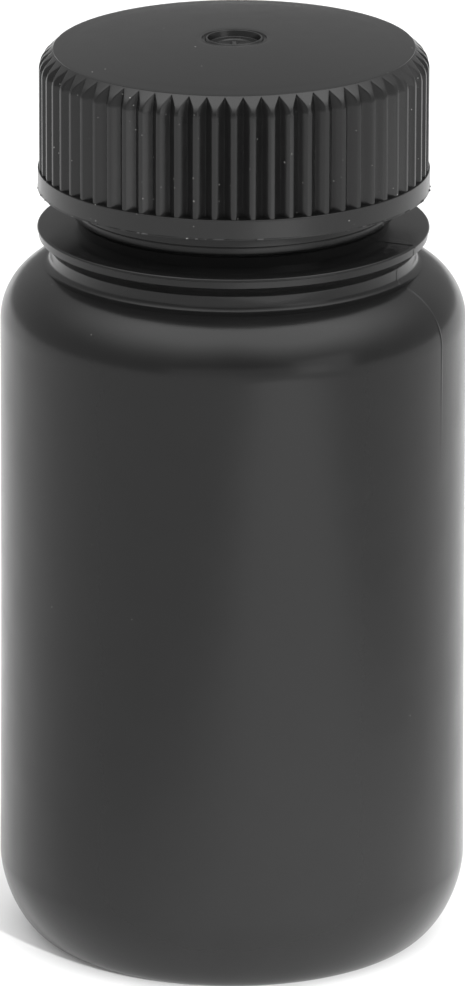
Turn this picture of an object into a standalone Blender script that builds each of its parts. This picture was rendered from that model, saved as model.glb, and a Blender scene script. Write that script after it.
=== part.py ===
"""A small wide-mouth reagent bottle in dark opaque plastic, with its ribbed screw cap and sealing liner.

Metres, +Z up. The origin is the centre of the ring that the bottle stands on.
The thread is right-handed: turning the cap counter-clockwise, seen from above, raises it along +Z.
"""
import math

import bmesh
import bpy

# ---- Facets around the round pieces ----
BOTTLE_FACETS = 64
LINER_FACETS = 48
THREAD_FACETS = 48
CAP_RIBS = 64                       # upright V grooves, with a sharp rib between each two

# ---- Bottle body ----
body_radius = 0.0260                # at the top of the heel
body_draft = 0.00035                # radius the straight wall loses up to the shoulder
body_height = 0.0714                # from the table to the start of the shoulder
body_wall = 0.0012
heel_width = 0.0053                 # radius lost round the heel
heel_height = 0.0090
heel_fullness = 1.67                # 2 is a true ellipse, less is flatter
shoulder_round = 0.00665

# ---- Base ----
foot_ring_width = 0.0025            # flat ring that touches the table
push_up_slope = 0.0022              # width of the slope inside that ring
push_up = 0.0012                    # rise of the base over the table
push_up_crown = 0.0005              # further rise at its centre
floor_thickness = 0.0016

# ---- Neck and support flange ----
neck_step = 0.0030                  # how far the neck stands out past the threaded finish
neck_rise = 0.0030                  # plain neck from the shoulder to the flange
neck_wall = 0.0014
flange_overhang = 0.0014            # lip of the flange past the neck
flange_thickness = 0.00117
flange_lip_step = 0.00045           # how far the lip stands out over the flange's edge band
flange_lip_height = 0.00030
throat_height = 0.0025              # funnel inside, from the neck in to the mouth

# ---- Finish: what the cap screws on to ----
mouth_radius = 0.0156
finish_wall = 0.0016
finish_height = 0.0173              # from the flange's top to the sealing lip
lip_edge = 0.0004                   # chamfer at the lip
bead_height = 0.0022                # plain bead just under the cap
bead_depth = 0.0007
bead_lift = 0.0017                  # flange's top to the bead
bead_chamfer = 0.0005

# ---- Thread, shared by the neck and the cap ----
thread_pitch = 0.00423
thread_depth = 0.0012
thread_turns = 1.5
thread_base = 0.0022                # width of the ridge where it leaves the neck
thread_crest = 0.0010
thread_from_lip = 0.0022            # lip to the middle of the ridge's upper end
thread_sink = 0.0004                # how deep a ridge is rooted in its wall
thread_fade = 0.125                 # turns over which each end of a ridge dies out
cap_thread_turns = 1.25
cap_thread_base = 0.0014
cap_thread_crest = 0.0007
crest_clearance = 0.00040           # between the cap's ridge and the neck, in radius
root_clearance = 0.00035            # between the neck's ridge and the cap's wall, in radius
flank_play = 0.00025                # between the two ridges, along the axis

# ---- Liner ----
liner_thickness = 0.0010
seat_gap = 0.0003                   # above and below the liner, and around it

# ---- Cap ----
cap_wall = 0.0014                   # bore to the bottom of the grooves
rib_depth = 0.00135
band_proud = 0.0001                 # lower band past the ribs
band_height = 0.00227
rim_gap = 0.00438                   # flange's top to the cap's rim
rim_edge = 0.00015                  # chamfer at the rim
top_thickness = 0.0012              # at the edge of the top
top_crown = 0.0012                  # rise of the top's centre over its edge
cap_shoulder_width = 0.0018         # radius lost where the ribs round in to the top
cap_shoulder_height = 0.0023
cap_shoulder_fullness = 1.8
gate_radius = 0.0030
gate_floor = 0.0017
gate_depth = 0.0008

# ---- Heights and radii that follow ----
finish_radius = mouth_radius + finish_wall
neck_radius = finish_radius + neck_step
foot_radius = body_radius - heel_width
shoulder_radius = body_radius - body_draft
shoulder_centre = shoulder_radius - shoulder_round
shoulder_reach = max(neck_radius - shoulder_centre, 0.0)
neck_base = body_height + math.sqrt(shoulder_round ** 2 - shoulder_reach ** 2)
flange_base = neck_base + neck_rise
flange_top = flange_base + flange_thickness
flange_radius = neck_radius + flange_overhang
lip_top = flange_top + finish_height

thread_radius = finish_radius + thread_depth
thread_end = lip_top - thread_from_lip
thread_start = thread_end - thread_turns * thread_pitch
cap_thread_radius = finish_radius + crest_clearance
cap_bore = thread_radius + root_clearance

liner_base = lip_top + seat_gap
liner_radius = cap_bore - seat_gap
ceiling = liner_base + liner_thickness + seat_gap
cap_rim = flange_top + rim_gap
groove_radius = cap_bore + cap_wall
rib_radius = groove_radius + rib_depth
band_radius = rib_radius + band_proud
top_radius = rib_radius - cap_shoulder_width


def clear_scene():
    for thing in list(bpy.data.objects):
        bpy.data.objects.remove(thing, do_unlink=True)


def plastic(name, colour, roughness):
    """A moulded plastic; the colour is linear."""
    material = bpy.data.materials.new(name)
    material.use_nodes = True
    shader = material.node_tree.nodes["Principled BSDF"]
    shader.inputs["Base Color"].default_value = (*colour, 1.0)
    shader.inputs["Roughness"].default_value = roughness
    shader.inputs["Metallic"].default_value = 0.0
    return material


def new_object(name, bm, height):
    """An object from a bmesh, standing at a height on the common axis."""
    bmesh.ops.recalc_face_normals(bm, faces=bm.faces)
    mesh = bpy.data.meshes.new(name)
    bm.to_mesh(mesh)
    bm.free()
    mesh.shade_smooth()
    mesh.set_sharp_from_angle(angle=math.radians(30))
    item = bpy.data.objects.new(name, mesh)
    item.location = (0.0, 0.0, height)
    bpy.context.scene.collection.objects.link(item)
    return item


def ring_of(bm, radius, height, facets, groove=None):
    """One ring of vertices. With a groove radius, every other vertex lies in a groove."""
    if radius == 0.0:
        return [bm.verts.new((0.0, 0.0, height))]
    ring = []
    for k in range(facets):
        angle = 2.0 * math.pi * k / facets
        reach = radius if groove is None or k % 2 == 0 else min(radius, groove)
        ring.append(bm.verts.new((reach * math.cos(angle), reach * math.sin(angle), height)))
    return ring


def join_rings(bm, lower, upper):
    """Faces between two neighbouring rings, either of which may be a point on the axis."""
    count = max(len(lower), len(upper))
    for k in range(count):
        after = (k + 1) % count
        if len(lower) == 1:
            corners = (lower[0], upper[after], upper[k])
        elif len(upper) == 1:
            corners = (lower[k], lower[after], upper[0])
        else:
            corners = (lower[k], lower[after], upper[after], upper[k])
        bm.faces.new(corners)


def turned(name, profile, facets, height=0.0, groove=None):
    """A turned solid. The profile runs from axis to axis, or closes on itself.

    A point is (radius, height), with True as a third value where the ring is grooved.
    """
    bm = bmesh.new()
    rings = []
    for radius, level, *grooved in profile:
        rings.append(ring_of(bm, radius, level - height, facets, groove if grooved else None))
    for lower, upper in zip(rings, rings[1:]):
        join_rings(bm, lower, upper)
    if len(rings[0]) > 1:
        join_rings(bm, rings[-1], rings[0])
    return new_object(name, bm, height)


def rounded(centre, half_width, half_height, steps, fullness=2.0, start=0.0, end=0.5 * math.pi):
    """Points along a rounded corner, by angle from the level direction."""
    points = []
    for k in range(steps + 1):
        angle = start + (end - start) * k / steps
        across = abs(math.cos(angle)) ** (2.0 / fullness)
        up = abs(math.sin(angle)) ** (2.0 / fullness)
        points.append((centre[0] + half_width * across, centre[1] + math.copysign(half_height * up, angle)))
    return points


def ridge(name, wall, crest, base_width, crest_width, start, turns, owner):
    """A helical thread ridge rooted in the wall of its owner, dying out at both ends."""
    outward = math.copysign(1.0, crest - wall)
    depth = abs(crest - wall)
    root = wall - outward * thread_sink
    root_width = base_width + (base_width - crest_width) * thread_sink / depth
    steps = round(turns * THREAD_FACETS)
    bm = bmesh.new()
    sections = []
    for k in range(steps + 1):
        turn = turns * k / steps
        angle = 2.0 * math.pi * (turn + 0.5 / THREAD_FACETS)
        height = start + thread_pitch * turn - owner.location.z
        full = min(1.0, turn / thread_fade, (turns - turn) / thread_fade)
        tip = wall - outward * 0.5 * thread_sink
        tip += outward * (depth + 0.5 * thread_sink) * full
        corners = (
            (root, height - 0.5 * root_width),
            (tip, height - 0.5 * crest_width),
            (tip, height + 0.5 * crest_width),
            (root, height + 0.5 * root_width),
        )
        sections.append([
            bm.verts.new((radius * math.cos(angle), radius * math.sin(angle), level))
            for radius, level in corners
        ])
    for before, after in zip(sections, sections[1:]):
        join_rings(bm, before, after)
    bm.faces.new(sections[0])
    bm.faces.new(sections[-1])
    tool = new_object(name, bm, 0.0)
    tool.parent = owner
    tool.hide_render = True
    tool.display_type = 'WIRE'
    union = owner.modifiers.new("thread", 'BOOLEAN')
    union.operation = 'UNION'
    union.solver = 'EXACT'
    union.object = tool
    return tool


def bottle_outside():
    """The outside, from the centre of the base up to the sealing lip."""
    foot_inner = foot_radius - foot_ring_width
    dome_edge = foot_inner - push_up_slope
    points = [(0.0, push_up + push_up_crown), (0.5 * dome_edge, push_up + 0.75 * push_up_crown)]
    points += [(dome_edge, push_up), (foot_inner, 0.0)]
    heel = rounded((foot_radius, heel_height), heel_width, heel_height, 7, heel_fullness,
                   -0.5 * math.pi, 0.0)
    points += heel
    lean = math.acos(shoulder_reach / shoulder_round)
    points += rounded((shoulder_centre, body_height), shoulder_round, shoulder_round, 7, 2.0, 0.0, lean)
    if shoulder_centre > neck_radius:
        points.append((neck_radius, neck_base))
    edge = flange_radius - flange_lip_step
    points += [(neck_radius, flange_base), (edge, flange_base)]
    points += [(edge, flange_top - flange_lip_height), (flange_radius, flange_top - 0.5 * flange_lip_height)]
    points += [(flange_radius - 0.5 * flange_lip_height, flange_top), (finish_radius, flange_top)]
    bead_base = flange_top + bead_lift
    bead_radius = finish_radius + bead_depth
    points += [(finish_radius, bead_base), (bead_radius, bead_base + bead_chamfer)]
    points += [(bead_radius, bead_base + bead_height - bead_chamfer), (finish_radius, bead_base + bead_height)]
    points += [(finish_radius, lip_top - lip_edge), (finish_radius - lip_edge, lip_top)]
    return points


def bottle_inside():
    """The cavity, from the sealing lip down to the centre of the floor."""
    points = [(mouth_radius + lip_edge, lip_top), (mouth_radius, lip_top - lip_edge)]
    neck_inside = neck_radius - neck_wall
    points += [(mouth_radius, flange_top), (neck_inside, flange_top - throat_height)]
    inner_round = shoulder_round - body_wall
    inner_reach = max(neck_inside - shoulder_centre, 0.0)
    lean = math.acos(inner_reach / inner_round)
    arc = rounded((shoulder_centre, body_height), inner_round, inner_round, 4, 2.0, 0.0, lean)
    if shoulder_centre > neck_inside:
        points.append((neck_inside, body_height + inner_round))
    points += reversed(arc)
    inner_foot = foot_radius - body_wall
    rise = heel_height - floor_thickness
    heel = rounded((inner_foot, heel_height), heel_width, rise, 4, heel_fullness, -0.5 * math.pi, 0.0)
    points += reversed(heel)
    dome_edge = foot_radius - foot_ring_width - push_up_slope
    points += [(dome_edge, push_up + floor_thickness), (0.0, push_up + push_up_crown + floor_thickness)]
    return points


def make_bottle():
    """Blow-moulded body, shoulder, flange and threaded neck in one piece, open at the mouth."""
    bottle = turned("bottle", bottle_outside() + bottle_inside(), BOTTLE_FACETS)
    ridge("neck_thread", finish_radius, thread_radius, thread_base, thread_crest,
          thread_start, thread_turns, bottle)
    bottle.data.materials.append(plastic("black_hdpe", (0.022, 0.022, 0.023), 0.36))
    return bottle


def make_liner():
    """Foam disc that lies in the cap's roof and seals on the lip."""
    edge = 0.25 * liner_thickness
    top = liner_base + liner_thickness
    profile = [
        (0.0, liner_base),
        (liner_radius - edge, liner_base),
        (liner_radius, liner_base + edge),
        (liner_radius, top - edge),
        (liner_radius - edge, top),
        (0.0, top),
    ]
    liner = turned("liner", profile, LINER_FACETS, liner_base)
    liner.data.materials.append(plastic("white_foam", (0.75, 0.74, 0.71), 0.8))
    return liner


def cap_outside():
    """The cap's outside, from its rim up over the ribs to the gate mark at the centre of its top."""
    top_edge = ceiling + top_thickness
    ledge = cap_rim + band_height
    points = [(band_radius - rim_edge, cap_rim), (band_radius, cap_rim + rim_edge), (band_radius, ledge)]
    points.append((rib_radius, ledge, True))
    corner = (top_radius, top_edge - cap_shoulder_height)
    shoulder = rounded(corner, cap_shoulder_width, cap_shoulder_height, 6, cap_shoulder_fullness)
    points += [(radius, level, True) for radius, level in shoulder]
    for share in (0.7, 0.4):
        points.append((top_radius * share, top_edge + top_crown * (1.0 - share ** 2)))
    gate_level = top_edge + top_crown * (1.0 - (gate_radius / top_radius) ** 2)
    gate_bottom = gate_level - gate_depth
    points += [(gate_radius, gate_level), (gate_floor, gate_bottom), (0.0, gate_bottom)]
    return points


def cap_inside():
    """The cap's inside, from the centre of its roof down to the rim."""
    return [(0.0, ceiling), (cap_bore, ceiling), (cap_bore, cap_rim + rim_edge), (cap_bore + rim_edge, cap_rim)]


def make_cap():
    """Screw cap with upright V grooves, a plain band at the rim and a crowned top."""
    cap = turned("cap", cap_inside() + cap_outside(), 2 * CAP_RIBS, cap_rim, groove_radius)
    outward = thread_radius - cap_thread_radius
    neck_half = 0.5 * (thread_crest + (thread_base - thread_crest) * outward / thread_depth)
    drop = neck_half + 0.5 * cap_thread_crest + flank_play
    ridge("cap_thread", cap_bore, cap_thread_radius, cap_thread_base, cap_thread_crest,
          thread_start - drop, cap_thread_turns, cap)
    cap.data.materials.append(plastic("black_polypropylene", (0.020, 0.020, 0.021), 0.42))
    return cap


clear_scene()
make_bottle()
make_liner()
make_cap()
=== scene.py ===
import math
import random

import bpy
from mathutils import Matrix, Vector


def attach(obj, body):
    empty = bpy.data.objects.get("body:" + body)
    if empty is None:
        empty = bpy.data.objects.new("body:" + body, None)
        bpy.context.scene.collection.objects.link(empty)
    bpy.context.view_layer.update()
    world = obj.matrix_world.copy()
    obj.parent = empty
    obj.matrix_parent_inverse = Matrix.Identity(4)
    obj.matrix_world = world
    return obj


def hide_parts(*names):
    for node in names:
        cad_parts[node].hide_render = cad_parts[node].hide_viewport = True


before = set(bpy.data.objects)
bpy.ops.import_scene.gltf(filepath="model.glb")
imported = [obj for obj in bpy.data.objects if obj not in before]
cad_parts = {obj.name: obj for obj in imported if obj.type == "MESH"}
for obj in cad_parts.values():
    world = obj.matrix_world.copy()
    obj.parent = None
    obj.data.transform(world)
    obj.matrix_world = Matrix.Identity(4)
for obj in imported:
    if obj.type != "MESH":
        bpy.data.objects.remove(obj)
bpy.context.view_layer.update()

# ---------------------------------------------------------------------------
# Bottle: blow-moulded in one piece from black HDPE, with body, shoulder, support
# flange and threaded finish. The two halves of its mould leave a fine raised line
# that runs up both sides and over the flange.
# ---------------------------------------------------------------------------
MM = 0.001

# Radii and heights in millimetres, from the foot up.
foot_outer = 20.7
foot_inner = 18.2
dome_radius = 16.0
dome_height = 1.2
dome_crown = 0.5
heel_height = 9.0
heel_fullness = 1.67
body_bottom_radius = 26.06
body_top_radius = 25.80
body_waist = 0.06
body_top = 71.3
shoulder_round = 6.75
shoulder_centre = body_top_radius - shoulder_round
neck_radius = 20.2
neck_base = 77.791
flange_base = 80.941
flange_top = 82.111
flange_edge_radius = 21.52
flange_lip_radius = 21.70
finish_radius = 17.2
bead_radius = 17.9
bead_base = 83.25
bead_groove = 84.55
bead_top = 86.011
lip_top = 99.411
mouth_radius = 15.6
neck_inner_radius = 18.8
throat_base = 79.611
bottle_wall = 1.2
floor_thickness = 1.6
thread_pitch = 4.23
thread_radius = 18.4
thread_start = 90.866
thread_turns = 1.5
thread_fade = 0.125


def rounded(corners, steps=4):
    """A path through corners of (radius, height, rounding), each corner drawn as an arc."""
    path = []
    for index, (radius, height, rounding) in enumerate(corners):
        corner = Vector((radius, height))
        if not rounding:
            path.append(corner)
            continue
        back = (Vector(corners[index - 1][:2]) - corner).normalized()
        ahead = (Vector(corners[(index + 1) % len(corners)][:2]) - corner).normalized()
        half = 0.5 * back.angle(ahead)
        centre = corner + (back + ahead).normalized() * rounding / math.sin(half)
        first = corner + back * rounding / math.tan(half) - centre
        last = corner + ahead * rounding / math.tan(half) - centre
        for step in range(steps + 1):
            path.append(centre + rounding * first.slerp(last, step / steps))
    return path


def quarter(centre, across, up, start, end, steps, fullness=2.0):
    """Points of a full-cornered round, by angle in degrees from the level direction."""
    points = []
    for step in range(steps + 1):
        angle = math.radians(start + (end - start) * step / steps)
        out = across * abs(math.cos(angle)) ** (2.0 / fullness)
        rise = math.copysign(up * abs(math.sin(angle)) ** (2.0 / fullness), angle)
        points.append((centre[0] + out, centre[1] + rise, 0.0))
    return points


def drawn(name, path):
    """A line in the XZ plane, extruded point by point from one vertex; the path is in mm."""
    bpy.ops.object.select_all(action='DESELECT')
    bpy.ops.mesh.primitive_plane_add(size=0.001)
    piece = bpy.context.object
    piece.name = name
    piece.data.name = name
    bpy.ops.object.mode_set(mode='EDIT')
    bpy.ops.mesh.select_all(action='SELECT')
    bpy.ops.mesh.merge(type='CENTER')
    bpy.ops.transform.translate(value=(path[0].x * MM, 0.0, path[0].y * MM))
    for before, after in zip(path, path[1:]):
        move = (after - before) * MM
        bpy.ops.mesh.extrude_vertices_move(TRANSFORM_OT_translate={"value": (move.x, 0.0, move.y)})
    bpy.ops.object.mode_set(mode='OBJECT')
    return piece


def close_up(piece):
    """Merges doubled points and turns all faces outwards."""
    bpy.context.view_layer.objects.active = piece
    bpy.ops.object.mode_set(mode='EDIT')
    bpy.ops.mesh.select_all(action='SELECT')
    bpy.ops.mesh.remove_doubles(threshold=0.0000015)
    bpy.ops.mesh.normals_make_consistent(inside=False)
    bpy.ops.object.mode_set(mode='OBJECT')


def turned(name, path, sides):
    """A path spun all the way round the upright axis."""
    piece = drawn(name, path)
    bpy.ops.object.mode_set(mode='EDIT')
    bpy.ops.mesh.select_all(action='SELECT')
    bpy.ops.mesh.spin(steps=sides, angle=2.0 * math.pi,
                      center=(0.0, 0.0, 0.0), axis=(0.0, 0.0, 1.0))
    bpy.ops.object.mode_set(mode='OBJECT')
    close_up(piece)
    return piece


def thread(name, section, turns, start, root):
    """A ridge that climbs around the axis; its section is swept by a Screw, and each end sinks
    back to the root radius over thread_fade, in turns."""
    ridge = drawn(name, section + section[:1])
    close_up(ridge)
    count = len(ridge.data.vertices)
    steps = round(96 * turns)
    screw = ridge.modifiers.new("climb", 'SCREW')
    screw.angle = 2.0 * math.pi * turns
    screw.screw_offset = thread_pitch * turns * MM
    screw.steps = steps
    screw.render_steps = screw.steps
    screw.use_merge_vertices = False
    screw.use_smooth_shade = False
    bpy.ops.object.modifier_apply(modifier="climb")
    for vertex in ridge.data.vertices:
        along = turns * (vertex.index // count) / steps
        full = max(0.0, min(1.0, along / thread_fade, (turns - along) / thread_fade))
        out = math.hypot(vertex.co.x, vertex.co.y)
        sunk = (root * MM + (out - root * MM) * math.sin(0.5 * math.pi * full)) / out
        vertex.co.x *= sunk
        vertex.co.y *= sunk
        vertex.co.z += start * MM
    bpy.ops.object.mode_set(mode='EDIT')
    bpy.ops.mesh.select_all(action='DESELECT')
    bpy.ops.mesh.select_mode(type='EDGE')
    bpy.ops.mesh.select_non_manifold(extend=False, use_wire=False, use_multi_face=False,
                                     use_non_contiguous=False, use_verts=False)
    bpy.ops.mesh.edge_face_add()
    bpy.ops.mesh.select_mode(type='VERT')
    bpy.ops.object.mode_set(mode='OBJECT')
    close_up(ridge)
    return ridge


outside = [(0.0, 1.38, 0.0), (0.7, 1.38, 0.12), (0.95, 1.68, 0.12)]
for radius in (2.0, 4.0, 8.0, 12.0):
    outside.append((radius, dome_height + dome_crown * (1.0 - (radius / dome_radius) ** 2), 0.0))
outside += [(dome_radius, dome_height, 1.2), (foot_inner, 0.0, 0.8)]
outside += quarter((foot_outer, heel_height), body_bottom_radius - foot_outer, heel_height,
                   -90.0, 0.0, 28, heel_fullness)
for step in range(1, 12):
    share = step / 12
    radius = body_bottom_radius + (body_top_radius - body_bottom_radius) * share
    radius -= body_waist * math.sin(math.pi * share)
    outside.append((radius, heel_height + (body_top - heel_height) * share, 0.0))
outside += quarter((shoulder_centre, body_top), shoulder_round, shoulder_round, 0.0, 74.0, 26)
outside += [
    (neck_radius, neck_base, 0.85),
    (neck_radius, flange_base - 1.15, 0.6),
    (flange_edge_radius - 0.15, flange_base - 0.03, 0.08),
    (flange_edge_radius, flange_base + 0.06, 0.05),
    (flange_edge_radius, flange_top - 0.38, 0.05),
    (flange_lip_radius, flange_top - 0.30, 0.05),
    (flange_lip_radius, flange_top, 0.26),
    (finish_radius, flange_top, 0.0),
    (finish_radius + 0.15, bead_base, 0.05),
    (bead_radius - 0.03, bead_base + 0.45, 0.45),
    (bead_radius, bead_groove - 0.09, 0.05),
    (bead_radius - 0.03, bead_groove, 0.04),
    (bead_radius, bead_groove + 0.09, 0.05),
    (bead_radius, bead_top - 0.5, 0.42),
    (finish_radius, bead_top, 0.15),
    (finish_radius, lip_top, 0.35),
]
inner_round = shoulder_round - bottle_wall
inner_heel = quarter((foot_outer - bottle_wall, heel_height), body_bottom_radius - foot_outer,
                     heel_height - floor_thickness, -90.0, 0.0, 14, heel_fullness)
inside = [(mouth_radius, lip_top, 0.35), (mouth_radius, flange_top, 1.0)]
inside += [(neck_inner_radius, throat_base, 1.0), (neck_inner_radius, body_top + inner_round, 0.0)]
inside += quarter((shoulder_centre, body_top), inner_round, inner_round, 88.0, 0.0, 14)
inside += reversed(inner_heel)
inside += [(dome_radius, dome_height + floor_thickness, 0.0)]
inside += [(0.0, dome_height + dome_crown + floor_thickness, 0.0)]
bottle = turned("bottle_body", rounded(outside + inside), 256)

# The mould line: three cuts side by side across both sides, the middle one drawn out. Each
# stretch has its azimuth in degrees, its lowest and highest point, and how far it stands out.
line_half_width = 0.07 * MM
body_azimuth = 62.8
finish_azimuth = 67.0
line_stretches = (
    (body_azimuth, 60.0, 66.0, 0.008),
    (body_azimuth, 66.0, 71.0, 0.02),
    (body_azimuth, 71.0, 80.9, 0.035),
    (finish_azimuth, 80.9, 99.0, 0.035),
)
for azimuth, lowest, highest, height in line_stretches:
    across_line = Vector((math.cos(math.radians(azimuth)), math.sin(math.radians(azimuth)), 0.0))
    for offset in (-line_half_width, 0.0, line_half_width):
        bpy.context.tool_settings.mesh_select_mode = (False, False, True)
        for face in bottle.data.polygons:
            face.select = lowest * MM < face.center.z <= highest * MM
        bpy.ops.object.mode_set(mode='EDIT')
        bpy.ops.mesh.bisect(plane_co=across_line * offset, plane_no=across_line,
                            threshold=0.001 * MM)
        bpy.ops.mesh.select_all(action='DESELECT')
        bpy.ops.object.mode_set(mode='OBJECT')
    bpy.context.tool_settings.mesh_select_mode = (True, False, False)
    for vertex in bottle.data.vertices:
        out = math.hypot(vertex.co.x, vertex.co.y) / MM
        rise = vertex.co.z / MM
        on_body = out > neck_radius + 0.7
        on_neck = rise > 77.0 and out > neck_radius - 0.4
        on_finish = rise > 79.0 and out > finish_radius - 0.2
        on_line = abs(vertex.co.dot(across_line)) < 0.002 * MM
        in_stretch = lowest * MM < vertex.co.z <= highest * MM
        vertex.select = on_line and in_stretch and (on_body or on_neck or on_finish)
    bpy.ops.object.mode_set(mode='EDIT')
    bpy.ops.transform.shrink_fatten(value=height * MM)
    bpy.ops.object.mode_set(mode='OBJECT')

ridge_half_base = 1.1
ridge_half_crest = 0.5
ridge_sunk = finish_radius - 0.4
ridge_section = rounded([
    (ridge_sunk, ridge_half_base, 0.0),
    (finish_radius, ridge_half_base, 0.0),
    (thread_radius, ridge_half_crest, 0.25),
    (thread_radius, -ridge_half_crest, 0.25),
    (finish_radius, -ridge_half_base, 0.0),
    (ridge_sunk, -ridge_half_base, 0.0),
])
neck_thread = thread("neck_thread", ridge_section, thread_turns, thread_start, finish_radius - 0.2)
bpy.ops.object.select_all(action='DESELECT')
neck_thread.select_set(True)
bottle.select_set(True)
bpy.context.view_layer.objects.active = bottle
bpy.ops.object.join()
bpy.ops.object.shade_smooth_by_angle(angle=math.radians(28.0))


def linear(hex_colour):
    """A colour written as #rrggbb in sRGB, as the shader needs it."""
    channels = [int(hex_colour[k:k + 2], 16) / 255.0 for k in (1, 3, 5)]
    light = [c / 12.92 if c <= 0.04045 else ((c + 0.055) / 1.055) ** 2.4 for c in channels]
    return (*light, 1.0)


def add(tree, kind, settings=None, links=None):
    """Adds a node; settings are its properties or socket values, links are its inputs' sources."""
    node = tree.nodes.new(kind)
    for name, value in (settings or {}).items():
        if isinstance(name, str) and name not in node.inputs:
            setattr(node, name, value)
        else:
            node.inputs[name].default_value = value
    for name, source in (links or {}).items():
        tree.links.new(source, node.inputs[name])
    return node


# Black HDPE, blow-moulded: a satin black with the faint unevenness of a blown wall, a
# slightly uneven gloss, a fine moulded grain and a little dust.
hdpe = bpy.data.materials.new("black_hdpe_blow_moulded")
hdpe.use_nodes = True
tree = hdpe.node_tree
tree.nodes.clear()
place = add(tree, 'ShaderNodeTexCoord').outputs["Object"]
mottle = add(tree, 'ShaderNodeTexNoise',
             {"Scale": 1.0 / (6.0 * MM), "Detail": 5.0, "Roughness": 0.62}, {"Vector": place})
black = add(tree, 'ShaderNodeMix',
            {"data_type": 'RGBA', 6: linear("#151515"), 7: linear("#191919")},
            {0: mottle.outputs[0]})
dust_cell = add(tree, 'ShaderNodeTexVoronoi', {"Scale": 1.0 / (2.2 * MM)}, {"Vector": place})
dust_near = add(tree, 'ShaderNodeMath', {"operation": 'LESS_THAN', 1: 0.035},
                {0: dust_cell.outputs["Distance"]})
dust_draw = add(tree, 'ShaderNodeSeparateColor', None, {"Color": dust_cell.outputs["Color"]})
dust_rare = add(tree, 'ShaderNodeMath', {"operation": 'GREATER_THAN', 1: 0.90},
                {0: dust_draw.outputs[0]})
dust = add(tree, 'ShaderNodeMath', {"operation": 'MULTIPLY'},
           {0: dust_near.outputs[0], 1: dust_rare.outputs[0]})
dusty = add(tree, 'ShaderNodeMix', {"data_type": 'RGBA', 7: linear("#5a5a58")},
            {0: dust.outputs[0], 6: black.outputs[2]})
gloss = add(tree, 'ShaderNodeMapRange',
            {"From Min": 0.3, "From Max": 0.7, "To Min": 0.19, "To Max": 0.24},
            {"Value": mottle.outputs[0]})
blown = add(tree, 'ShaderNodeTexNoise', {"Scale": 1.0 / (9.0 * MM), "Detail": 1.0},
            {"Vector": place})
uneven = add(tree, 'ShaderNodeBump', {"Strength": 1.0, "Distance": 0.08 * MM},
             {"Height": blown.outputs[0]})
grain = add(tree, 'ShaderNodeTexNoise', {"Scale": 1.0 / (0.30 * MM), "Detail": 2.0},
            {"Vector": place})
grained = add(tree, 'ShaderNodeBump', {"Strength": 1.0, "Distance": 0.0030 * MM},
              {"Height": grain.outputs[0], "Normal": uneven.outputs[0]})
plastic = add(tree, 'ShaderNodeBsdfPrincipled',
              {"Metallic": 0.0, "IOR": 1.54, "Specular IOR Level": 0.235},
              {"Base Color": dusty.outputs[2], "Roughness": gloss.outputs[0],
               "Normal": grained.outputs[0]})
add(tree, 'ShaderNodeOutputMaterial', None, {"Surface": plastic.outputs[0]})
bottle.data.materials.clear()
bottle.data.materials.append(hdpe)
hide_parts("bottle")
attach(bottle, "bottle")

# ---------------------------------------------------------------------------
# Liner: a loose disc die-cut from white closed-cell polyethylene foam sheet, pressed
# up into the cap's roof, where the bottle's lip dents it when the cap is tight.
# ---------------------------------------------------------------------------
foam = bpy.data.materials.new("white_polyethylene_foam")
foam.use_nodes = True
tree = foam.node_tree
tree.nodes.clear()
place = add(tree, 'ShaderNodeTexCoord').outputs["Object"]
cells = add(tree, 'ShaderNodeTexVoronoi', {"Scale": 1.0 / (0.35 * MM)}, {"Vector": place})
tone = add(tree, 'ShaderNodeTexNoise', {"Scale": 1.0 / (4.0 * MM), "Detail": 3.0},
           {"Vector": place})
white = add(tree, 'ShaderNodeMix',
            {"data_type": 'RGBA', 6: linear("#e2e0da"), 7: linear("#efeeea")},
            {0: tone.outputs[0]})
celled = add(tree, 'ShaderNodeBump', {"Strength": 0.6, "Distance": 0.05 * MM},
             {"Height": cells.outputs["Distance"]})
soft = add(tree, 'ShaderNodeBsdfPrincipled',
           {"Roughness": 0.75, "IOR": 1.5, "Specular IOR Level": 0.35},
           {"Base Color": white.outputs[2], "Normal": celled.outputs[0]})
add(tree, 'ShaderNodeOutputMaterial', None, {"Surface": soft.outputs[0]})
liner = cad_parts["liner"]
liner.data.materials.clear()
liner.data.materials.append(foam)

# ---------------------------------------------------------------------------
# Cap: injection-moulded in one piece from black polypropylene, with 64 upright V
# grooves for grip, a plain band at the rim, and the gate's small ringed dish at the
# centre of its crowned top. A coarse thread inside takes the bottle's neck.
# ---------------------------------------------------------------------------
rib_count = 64
rib_radius = 21.5
groove_bottom = 20.62
groove_top_bottom = 20.02
run_out_start = 100.2
groove_half_width = 0.85
groove_edge_round = 0.05
band_radius = 21.65
cap_rim = 86.491
ledge = 88.761
shoulder_start = 99.911
shoulder_corner = 100.86
shoulder_rounding = 2.0
cap_top_edge = 102.31
cap_top_radius = 19.94
top_crown = 1.12
top_step = 0.05
cap_bore = 18.75
cap_ceiling = 101.011
cap_thread_radius = 17.6
cap_thread_start = 89.37
cap_thread_turns = 1.25


def crown(radius, above=0.0):
    """A point on the crowned top."""
    return cap_top_edge + top_crown * (1.0 - (radius / cap_top_radius) ** 2) + above


cap_path = [
    (0.0, cap_ceiling, 0.0),
    (cap_bore, cap_ceiling, 0.22),
    (cap_bore, 95.0, 0.0),
    (cap_bore, cap_rim, 0.25),
    (band_radius - 0.04, cap_rim, 0.02),
    (band_radius + 0.08, cap_rim + 0.03, 0.02),
    (band_radius + 0.08, cap_rim + 0.07, 0.02),
    (band_radius, cap_rim + 0.17, 0.0),
    (band_radius, cap_rim + 0.21, 0.0),
    (band_radius, cap_rim + 0.26, 0.0),
    (band_radius, ledge - 0.3, 0.0),
    (band_radius, ledge - 0.006, 0.07),
    (rib_radius, ledge - 0.006, 0.0),
]
for share in range(0, 9):
    cap_path.append((rib_radius, ledge + (shoulder_start - ledge) * share / 9, 0.0))
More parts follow.
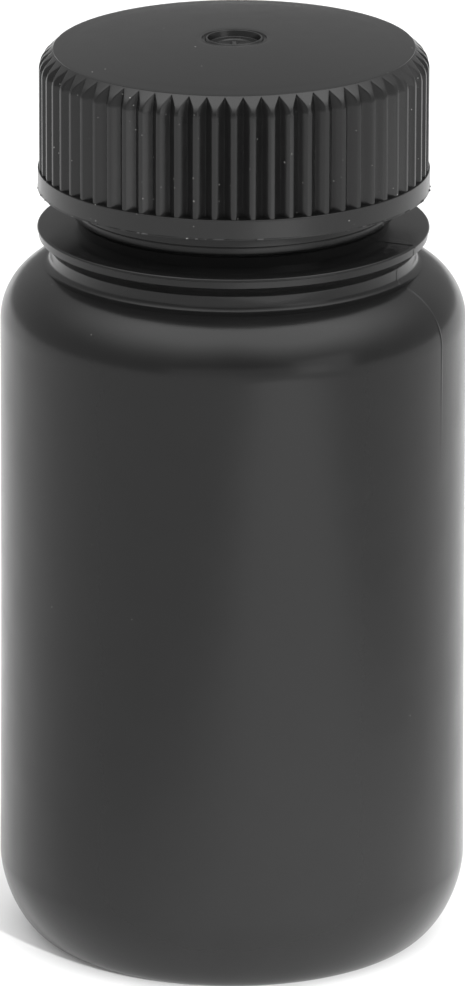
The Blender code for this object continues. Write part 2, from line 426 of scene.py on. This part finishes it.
# The shoulder is a cone with a rounded foot and a crisp upper edge.
cone_top = cap_top_edge - top_step
cone = Vector((cap_top_radius - rib_radius, cone_top - shoulder_corner)).normalized()
half_turn = 0.5 * math.atan2(-cone.x, cone.y)
cone_foot = shoulder_corner - shoulder_rounding * math.tan(half_turn)
for step in range(10):
    angle = 2.0 * half_turn * step / 9
    cap_path.append((rib_radius - shoulder_rounding * (1.0 - math.cos(angle)),
                     cone_foot + shoulder_rounding * math.sin(angle), 0.0))
last_foot = Vector(cap_path[-1][:2])
meeting_height = cone_top + (groove_top_bottom - cap_top_radius) * cone.y / cone.x
for step in range(1, 15):
    here = last_foot.lerp(Vector((groove_top_bottom, meeting_height)), step / 14)
    cap_path.append((here.x, here.y, 0.0))
cap_path += [(cap_top_radius, cone_top, 0.0), (cap_top_radius - 0.01, cap_top_edge, 0.01)]
for radius in (19.3, 18.55):
    cap_path.append((radius, crown(radius), 0.0))
# A hair-thin ring, and then the plain top.
for radius, above in ((18.38, 0.0), (18.3, -0.004), (18.22, 0.0)):
    cap_path.append((radius, crown(radius, above), 0.0))
for radius in (17.0, 15.0, 13.0, 11.0, 9.0, 7.0, 5.4):
    cap_path.append((radius, crown(radius), 0.0))
# The gate's mark, from outside in, as (radius, height above the crown, rounding).
gate_mark = (
    (4.2, 0.0, 0.3),        # soft sink
    (3.72, -0.05, 0.05),    # raised edge
    (3.62, 0.03, 0.04),
    (3.54, -0.24, 0.05),    # groove
    (3.24, -0.24, 0.05),
    (3.10, 0.04, 0.05),     # inner lip
    (2.94, 0.04, 0.06),
    (2.80, -0.68, 0.08),    # steep wall of the dish
    (1.98, -0.72, 0.0),
    (1.92, -0.64, 0.03),    # low ring
    (1.80, -0.64, 0.03),
    (1.72, -0.76, 0.03),    # floor
    (0.42, -0.78, 0.04),
    (0.26, -0.50, 0.06),    # nub left by the gate
    (0.0, -0.48, 0.0),
)
for radius, above, rounding in gate_mark:
    cap_path.append((radius, crown(radius, above), rounding))

# One rib is shaped from a sliver of the turned blank, then set round the axis 64 times.
cap = drawn("cap_shell", rounded(cap_path))
columns = 16
pitch_angle = 2.0 * math.pi / rib_count
bpy.ops.object.mode_set(mode='EDIT')
bpy.ops.mesh.select_all(action='SELECT')
bpy.ops.mesh.spin(steps=columns, angle=pitch_angle, center=(0.0, 0.0, 0.0), axis=(0.0, 0.0, 1.0))
bpy.ops.object.mode_set(mode='OBJECT')


def groove_points(reach, bottom):
    """Half a rib in plan, from the bottom of its groove to the middle of its crest, as
    (angle, radius) from the groove's own line. The blank's radius is reach, and the groove's
    depth ends at bottom."""
    slope = groove_half_width / (rib_radius - groove_bottom)
    edge_out = reach
    for _ in range(3):
        edge_across = slope * max(edge_out - bottom, 0.0)
        edge_out = math.sqrt(reach ** 2 - edge_across ** 2)
    turn_back = min(groove_edge_round, 0.4 * edge_across)
    depth = edge_out - bottom
    high_out = edge_out - 0.7 * turn_back
    points = [(0.0, bottom + min(0.03, 0.2 * depth) if depth > 0.0 else reach)]
    for share in (0.12, 0.40, 0.70, 1.0):
        out = bottom + share * (high_out - bottom)
        across = slope * max(out - bottom, 0.0)
        points.append((across, out) if depth > 0.0 else (0.0, reach))
    angles = [(math.atan2(across, out), math.hypot(across, out)) for across, out in points]
    edge_angle = math.atan2(edge_across, edge_out)
    after = edge_angle + turn_back / reach
    half_pitch = 0.5 * pitch_angle
    before_angle, before_radius = angles[-1]
    angles.append((0.5 * (0.5 * (before_angle + after) + edge_angle),
                   0.5 * (0.5 * (before_radius + reach) + reach)))
    angles.append((after, reach))
    angles.append((0.5 * (after + half_pitch), reach))
    angles.append((half_pitch, reach))
    return angles


for vertex in cap.data.vertices:
    radius = math.hypot(vertex.co.x, vertex.co.y) / MM
    if radius < 0.0001:
        continue
    column = round(abs(math.atan2(vertex.co.y, vertex.co.x)) / (pitch_angle / columns))
    height = vertex.co.z / MM
    grooved = height > ledge - 0.003 and radius > groove_top_bottom
    on_top = height > ledge and radius <= groove_top_bottom and height > cap_ceiling + 0.01
    reach = radius if grooved else (groove_top_bottom if on_top else rib_radius)
    rise = max(0.0, min(1.0, (height - run_out_start) / (meeting_height - run_out_start)))
    bottom = groove_bottom
    if grooved or on_top:
        bottom += (groove_top_bottom - groove_bottom) * rise
    half = min(column, columns - column)
    angle, new_radius = groove_points(reach, groove_top_bottom if on_top else bottom)[half]
    if not grooved:
        new_radius = radius
    angle = angle if column <= columns // 2 else pitch_angle - angle
    angle -= 0.5 * pitch_angle
    vertex.co.x = new_radius * MM * math.cos(angle)
    vertex.co.y = new_radius * MM * math.sin(angle)
bpy.ops.object.mode_set(mode='EDIT')
bpy.ops.mesh.select_all(action='SELECT')
bpy.ops.mesh.spin(steps=rib_count - 1, angle=2.0 * math.pi - pitch_angle, dupli=True,
                  center=(0.0, 0.0, 0.0), axis=(0.0, 0.0, 1.0))
bpy.ops.object.mode_set(mode='OBJECT')
close_up(cap)

# The flash along the rim's edge is uneven: thin in places, with small burrs in others.
rim_columns = rib_count * columns
flash = []
for step in range(rim_columns):
    flash.append(0.45 + 0.35 * math.sin(0.031 * step) * math.sin(0.113 * step + 1.0))
chance = random.Random(12)
for _ in range(46):
    burr_at = chance.randrange(rim_columns)
    for step in range(chance.choice((1, 1, 2, 3, 5))):
        flash[(burr_at + step) % rim_columns] = chance.uniform(1.2, 1.9)
for vertex in cap.data.vertices:
    out = math.hypot(vertex.co.x, vertex.co.y)
    if out > (band_radius + 0.055) * MM and vertex.co.z < (cap_rim + 0.12) * MM:
        share = math.atan2(vertex.co.y, vertex.co.x) / (2.0 * math.pi)
        step = round(share * rim_columns) % rim_columns
        grown = (band_radius + 0.08 * flash[step]) * MM / out
        vertex.co.x *= grown
        vertex.co.y *= grown

# The moulding is a touch untrue: its outside sits a hair to one side of the inside, and its
# top leans.
shifted = 0.04
lean = math.tan(math.radians(0.35))
for vertex in cap.data.vertices:
    on_side = math.hypot(vertex.co.x, vertex.co.y) > (cap_bore + 0.3) * MM
    on_roof = vertex.co.z > (cap_ceiling + 0.3) * MM
    if on_side or on_roof:
        vertex.co.x += shifted * MM
        share = (vertex.co.z / MM - cap_rim) / (cap_top_edge - cap_rim)
        vertex.co.z += vertex.co.x * lean * share

ridge_half_base = 0.7
ridge_half_crest = 0.35
ridge_sunk = cap_bore + 0.3
ridge_section = rounded([
    (ridge_sunk, ridge_half_base, 0.0),
    (cap_bore, ridge_half_base, 0.0),
    (cap_thread_radius, ridge_half_crest, 0.18),
    (cap_thread_radius, -ridge_half_crest, 0.18),
    (cap_bore, -ridge_half_base, 0.0),
    (ridge_sunk, -ridge_half_base, 0.0),
])
cap_thread = thread("cap_thread", ridge_section, cap_thread_turns, cap_thread_start,
                    cap_bore + 0.15)
bpy.ops.object.select_all(action='DESELECT')
cap_thread.select_set(True)
cap.select_set(True)
bpy.context.view_layer.objects.active = cap
bpy.ops.object.join()
bpy.ops.object.shade_smooth_by_angle(angle=math.radians(32.0))

# Black polypropylene, moulded: the same satin black, a little more even, with a fine
# grain, and dust that clings to the grooved sides and is scarce on the smooth top.
polypropylene = bpy.data.materials.new("black_polypropylene_moulded")
polypropylene.use_nodes = True
tree = polypropylene.node_tree
tree.nodes.clear()
place = add(tree, 'ShaderNodeTexCoord').outputs["Object"]
mottle = add(tree, 'ShaderNodeTexNoise',
             {"Scale": 1.0 / (3.0 * MM), "Detail": 5.0, "Roughness": 0.6}, {"Vector": place})
black = add(tree, 'ShaderNodeMix',
            {"data_type": 'RGBA', 6: linear("#121212"), 7: linear("#161616")},
            {0: mottle.outputs[0]})
dust_cell = add(tree, 'ShaderNodeTexVoronoi', {"Scale": 1.0 / (0.7 * MM)}, {"Vector": place})
dust_draw = add(tree, 'ShaderNodeSeparateColor', None, {"Color": dust_cell.outputs["Color"]})
dust_size = add(tree, 'ShaderNodeMath', {"operation": 'MULTIPLY', 1: 0.13},
                {0: dust_draw.outputs[1]})
dust_near = add(tree, 'ShaderNodeMath', {"operation": 'LESS_THAN'},
                {0: dust_cell.outputs["Distance"], 1: dust_size.outputs[0]})
standing = add(tree, 'ShaderNodeSeparateXYZ', None, {0: place})
on_top_face = add(tree, 'ShaderNodeMath', {"operation": 'GREATER_THAN', 1: 101.6 * MM},
                  {0: standing.outputs[2]})
scarce = add(tree, 'ShaderNodeMath', {"operation": 'MULTIPLY_ADD', 1: 0.46, 2: 0.50},
             {0: on_top_face.outputs[0]})
dust_rare = add(tree, 'ShaderNodeMath', {"operation": 'GREATER_THAN'},
                {0: dust_draw.outputs[0], 1: scarce.outputs[0]})
dust = add(tree, 'ShaderNodeMath', {"operation": 'MULTIPLY'},
           {0: dust_near.outputs[0], 1: dust_rare.outputs[0]})
dusty = add(tree, 'ShaderNodeMix', {"data_type": 'RGBA', 7: linear("#787876")},
            {0: dust.outputs[0], 6: black.outputs[2]})
gloss = add(tree, 'ShaderNodeMapRange',
            {"From Min": 0.3, "From Max": 0.7, "To Min": 0.22, "To Max": 0.27},
            {"Value": mottle.outputs[0]})
grain = add(tree, 'ShaderNodeTexNoise', {"Scale": 1.0 / (0.30 * MM), "Detail": 2.0},
            {"Vector": place})
grained = add(tree, 'ShaderNodeBump', {"Strength": 1.0, "Distance": 0.0015 * MM},
              {"Height": grain.outputs[0]})
plastic = add(tree, 'ShaderNodeBsdfPrincipled',
              {"Metallic": 0.0, "IOR": 1.49, "Specular IOR Level": 0.38},
              {"Base Color": dusty.outputs[2], "Roughness": gloss.outputs[0],
               "Normal": grained.outputs[0]})
add(tree, 'ShaderNodeOutputMaterial', None, {"Surface": plastic.outputs[0]})
cap.data.materials.clear()
cap.data.materials.append(polypropylene)
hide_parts("cap")
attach(cap, "cap")

# ---------------------------------------------------------------------------
# Floor: a plain white studio sweep. What the camera and reflections see of it is
# lifted to white, and the bottle's own shadow stays on it.
# ---------------------------------------------------------------------------
bpy.ops.object.select_all(action='DESELECT')
bpy.ops.mesh.primitive_plane_add(size=6.0, location=(0.0, 0.0, -0.02 * MM))
studio_floor = bpy.context.object
studio_floor.name = "studio_floor"
sweep_paint = bpy.data.materials.new("white_matt_sweep")
sweep_paint.use_nodes = True
tree = sweep_paint.node_tree
tree.nodes.clear()
ray = add(tree, 'ShaderNodeLightPath')
seen = add(tree, 'ShaderNodeMath', {"operation": 'MAXIMUM'},
           {0: ray.outputs["Is Camera Ray"], 1: ray.outputs["Is Glossy Ray"]})
seen_all = add(tree, 'ShaderNodeMath', {"operation": 'MAXIMUM'},
               {0: seen.outputs[0], 1: ray.outputs["Is Transmission Ray"]})
lift = add(tree, 'ShaderNodeMath', {"operation": 'MULTIPLY', 1: 0.12}, {0: seen_all.outputs[0]})
matt = add(tree, 'ShaderNodeBsdfDiffuse', {"Color": linear("#d4d4d4")})
glow = add(tree, 'ShaderNodeEmission', {"Color": linear("#ffffff")}, {"Strength": lift.outputs[0]})
both = add(tree, 'ShaderNodeAddShader', None, {0: matt.outputs[0], 1: glow.outputs[0]})
add(tree, 'ShaderNodeOutputMaterial', None, {"Surface": both.outputs[0]})
studio_floor.data.materials.append(sweep_paint)

# ---------------------------------------------------------------------------
# Light: an even studio. A soft dome glows overhead, reaches further down in front and at
# the sides, and fades towards the horizon. Two weak boxes stand low in front, and one narrow
# lamp throws a fan of light on the floor at the right, in front.
# ---------------------------------------------------------------------------
world = bpy.data.worlds.new("studio")
bpy.context.scene.world = world
world.use_nodes = True
tree = world.node_tree
tree.nodes.clear()
toward_sky = add(tree, 'ShaderNodeTexCoord').outputs["Generated"]
across, along, upward = add(tree, 'ShaderNodeSeparateXYZ', None, {0: toward_sky}).outputs
to_side = add(tree, 'ShaderNodeMath', {"operation": 'ABSOLUTE'}, {0: across})
side_lift = add(tree, 'ShaderNodeMath', {"operation": 'MULTIPLY_ADD', 1: 0.24},
                {0: to_side.outputs[0], 2: upward})
right_lift = add(tree, 'ShaderNodeMath', {"operation": 'MULTIPLY_ADD', 1: 0.044},
                 {0: across, 2: side_lift.outputs[0]})
front_lift = add(tree, 'ShaderNodeMath', {"operation": 'MULTIPLY_ADD', 1: -0.17},
                 {0: along, 2: right_lift.outputs[0]})
reach_up = add(tree, 'ShaderNodeMapRange', {"From Min": 0.38, "From Max": 1.0},
               {"Value": front_lift.outputs[0]})
soft_edge = add(tree, 'ShaderNodeMath', {"operation": 'POWER', 1: 2.8}, {0: reach_up.outputs[0]})
up_behind = add(tree, 'ShaderNodeMath', {"operation": 'MULTIPLY'}, {0: along, 1: upward})
behind = add(tree, 'ShaderNodeMapRange', {"To Min": 0.25, "To Max": 0.56},
             {"Value": up_behind.outputs[0]})
horizon = add(tree, 'ShaderNodeMath', {"operation": 'MULTIPLY_ADD', 1: 0.34},
              {0: to_side.outputs[0], 2: behind.outputs[0]})
dome = add(tree, 'ShaderNodeMath', {"operation": 'MULTIPLY_ADD', 1: 2.95},
           {0: soft_edge.outputs[0], 2: horizon.outputs[0]})
surround = add(tree, 'ShaderNodeBackground', {"Color": linear("#ffffff")},
               {"Strength": dome.outputs[0]})
add(tree, 'ShaderNodeOutputWorld', None, {"Surface": surround.outputs[0]})


def lamp(name, kind, azimuth, elevation, distance, watts, aim=(0.0, 0.0, 0.08)):
    """A lamp set by its direction from the point it aims at, in degrees: azimuth 0 is in front."""
    bpy.ops.object.select_all(action='DESELECT')
    turn = math.radians(azimuth)
    rise = math.radians(elevation)
    level = math.cos(rise)
    toward = Vector((math.sin(turn) * level, -math.cos(turn) * level, math.sin(rise)))
    bpy.ops.object.light_add(type=kind, location=Vector(aim) + toward * distance)
    light = bpy.context.object
    light.name = name
    light.rotation_euler = toward.to_track_quat('Z', 'Y').to_euler()
    light.data.energy = watts
    return light


box_distance = 2.5
for name, azimuth, elevation, width, height, watts in (
        ("front_low_box", 8.0, 6.0, 4.2, 0.65, 6.0),
        ("right_front_panel", 46.0, 10.0, 1.3, 1.1, 4.6)):
    box = lamp(name, 'AREA', azimuth, elevation, box_distance, watts)
    box.data.shape = 'RECTANGLE'
    box.data.size = width
    box.data.size_y = height

patch_distance = 0.24
patch_turn = math.radians(26.5)
patch = (patch_distance * math.sin(patch_turn), -patch_distance * math.cos(patch_turn), 0.0)
fan = lamp("floor_fan", 'SPOT', 25.0, 25.0, 1.2, 230.0, patch)
fan.data.spot_size = math.radians(9.8)
fan.data.spot_blend = 0.5
fan.data.shadow_soft_size = 0.03
fan.visible_glossy = False

# ---------------------------------------------------------------------------
# Camera: a long lens a little over a metre away, looking slightly down.
# ---------------------------------------------------------------------------
bpy.ops.object.select_all(action='DESELECT')
bpy.ops.object.camera_add(location=(0.0, -1.092, 0.4024))
camera = bpy.context.object
camera.name = "studio_camera"
looking_down = 0.3115
down = Matrix.Rotation(math.radians(90.0) - looking_down, 3, 'X')
roll = Matrix.Rotation(0.0024, 3, 'Z')
swing = Matrix.Rotation(0.000024, 3, 'Z')
camera.rotation_euler = (swing @ down @ roll).to_euler()
camera.data.sensor_width = 36.0
camera.data.lens = 375.7
camera.data.clip_start = 0.05
camera.data.clip_end = 20.0
bpy.context.scene.camera = camera
bpy.context.scene.view_settings.view_transform = 'Standard'
